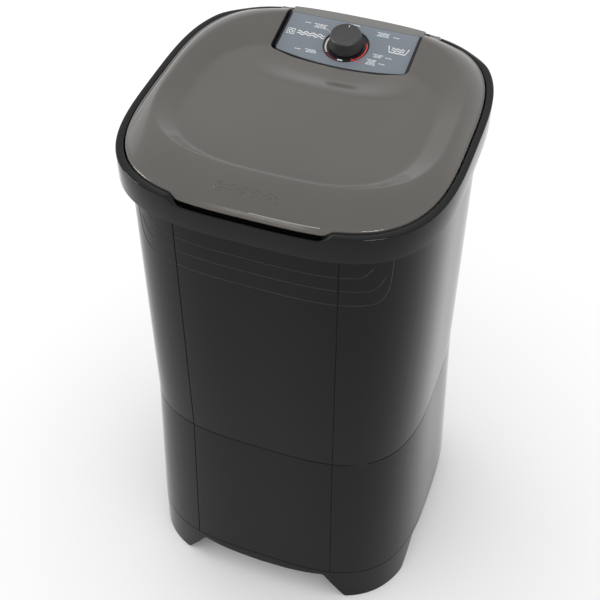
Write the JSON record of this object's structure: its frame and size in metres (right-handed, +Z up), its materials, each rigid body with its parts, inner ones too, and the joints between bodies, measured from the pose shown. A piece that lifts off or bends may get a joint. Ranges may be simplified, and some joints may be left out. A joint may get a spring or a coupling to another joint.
{
  "type": "portable mini washer",
  "caption": "Top-loading mini washer: footed moulded cabinet, collar with a dished hinged lid and tilted dial console, hanging wash tub with a belt-driven pulsator.",
  "frame": {"origin": "centre of the footprint on the floor, at the underside of the foot pads", "axes": "+Z up, -Y towards the front (the finger scoop), +Y towards the rear console, +X to the right seen from behind the front"},
  "size_m": [0.528, 0.537, 1.0005],
  "materials": {
    "body_plastic": "deep black, semi-gloss moulding",
    "collar_plastic": "black-grey, semi-gloss moulding",
    "lid_plastic": "warm grey, semi-gloss moulding",
    "grey_plastic": "mid grey, satin moulding",
    "panel_film": "blue-grey printed film",
    "dark_plastic": "dark, satin moulding",
    "knob_plastic": "dark grey, satin moulding",
    "tub_plastic": "off-white, glossy moulding",
    "filter_plastic": "light blue moulding",
    "nylon": "cream engineering plastic",
    "cam_plastic": "tan acetal",
    "rubber": "black, matt",
    "hose_plastic": "grey, flexible",
    "wire": "dark sleeve",
    "steel": "zinc-plated",
    "bracket_steel": "galvanised sheet",
    "cast_aluminium": "as-cast",
    "bronze": "sintered bronze",
    "core_steel": "laminated core, varnished",
    "copper": "enamelled winding"
  },
  "bodies": {
    "cabinet": {"base_skirt": "body_plastic", "foot_pads": "rubber", "base_screws": "steel", "lower_front_panel": "body_plastic", "lower_rear_panel": "body_plastic", "lower_left_panel": "body_plastic", "lower_right_panel": "body_plastic", "upper_front_panel": "body_plastic", "upper_rear_panel": "body_plastic", "upper_left_panel": "body_plastic", "upper_right_panel": "body_plastic", "waist_ring": "dark_plastic", "panel_joiners": "dark_plastic", "top_collar": "collar_plastic", "collar_screws": "steel", "wash_tub": "tub_plastic", "filter_guide": "tub_plastic", "shaft_seal": "rubber", "bearing_housing": "cast_aluminium", "upper_bush": "bronze", "lower_bush": "bronze", "housing_bolts": "steel", "drive_belt": "rubber", "motor_bracket": "bracket_steel", "motor_stator": "core_steel", "stator_winding": "copper", "motor_upper_cover": "cast_aluminium", "motor_lower_cover": "cast_aluminium", "motor_bolts": "steel", "capacitor": "nylon", "capacitor_clip": "bracket_steel", "drain_elbow": "dark_plastic", "drain_hose": "hose_plastic", "hose_clamps": "steel", "drain_outlet": "dark_plastic", "cord_gland": "rubber", "console_housing": "grey_plastic", "control_panel": "panel_film", "dial_ring": "dark_plastic", "timer_body": "nylon", "timer_screws": "steel", "hinge_pins": "steel", "lid_buffers": "rubber", "wiring_harness": "wire"},
    "lid": {"lid": "lid_plastic"},
    "timer_dial": {"timer_knob": "knob_plastic", "timer_shaft": "steel", "timer_cam": "cam_plastic"},
    "wash_drive": {"pulsator": "tub_plastic", "pulsator_cap": "filter_plastic", "pulsator_screw": "steel", "drive_shaft": "steel", "driven_pulley": "cast_aluminium", "pulley_nut": "steel"},
    "motor_drive": {"motor_rotor": "core_steel", "motor_pulley": "cast_aluminium"},
    "filter_unit": {"lint_filter": "filter_plastic"}
  },
  "joints": [
    {"name": "lid_hinge", "type": "hinge", "parent": "cabinet", "child": "lid", "pos_m": [0, 0.253, 0.966], "axis": [-1, 0, 0], "range_deg": [0, 95]},
    {"name": "timer_turn", "type": "hinge", "parent": "cabinet", "child": "timer_dial", "pos_m": [0, 0.177, 0.97195], "axis": [0, -0.1822, 0.9833], "continuous": true},
    {"name": "pulsator_spin", "type": "hinge", "parent": "cabinet", "child": "wash_drive", "pos_m": [0, -0.055, 0.3], "axis": [0, 0, 1], "continuous": true},
    {"name": "motor_spin", "type": "hinge", "parent": "cabinet", "child": "motor_drive", "pos_m": [0, 0.163, 0.3], "axis": [0, 0, 1], "continuous": true},
    {"name": "filter_lift", "type": "slide", "parent": "cabinet", "child": "filter_unit", "axis": [0, 0, 1], "range_m": [0, 0.15]}
  ],
  "couplings": [
    {"joint": "motor_spin", "follows": "pulsator_spin", "ratio": 4}
  ]
}
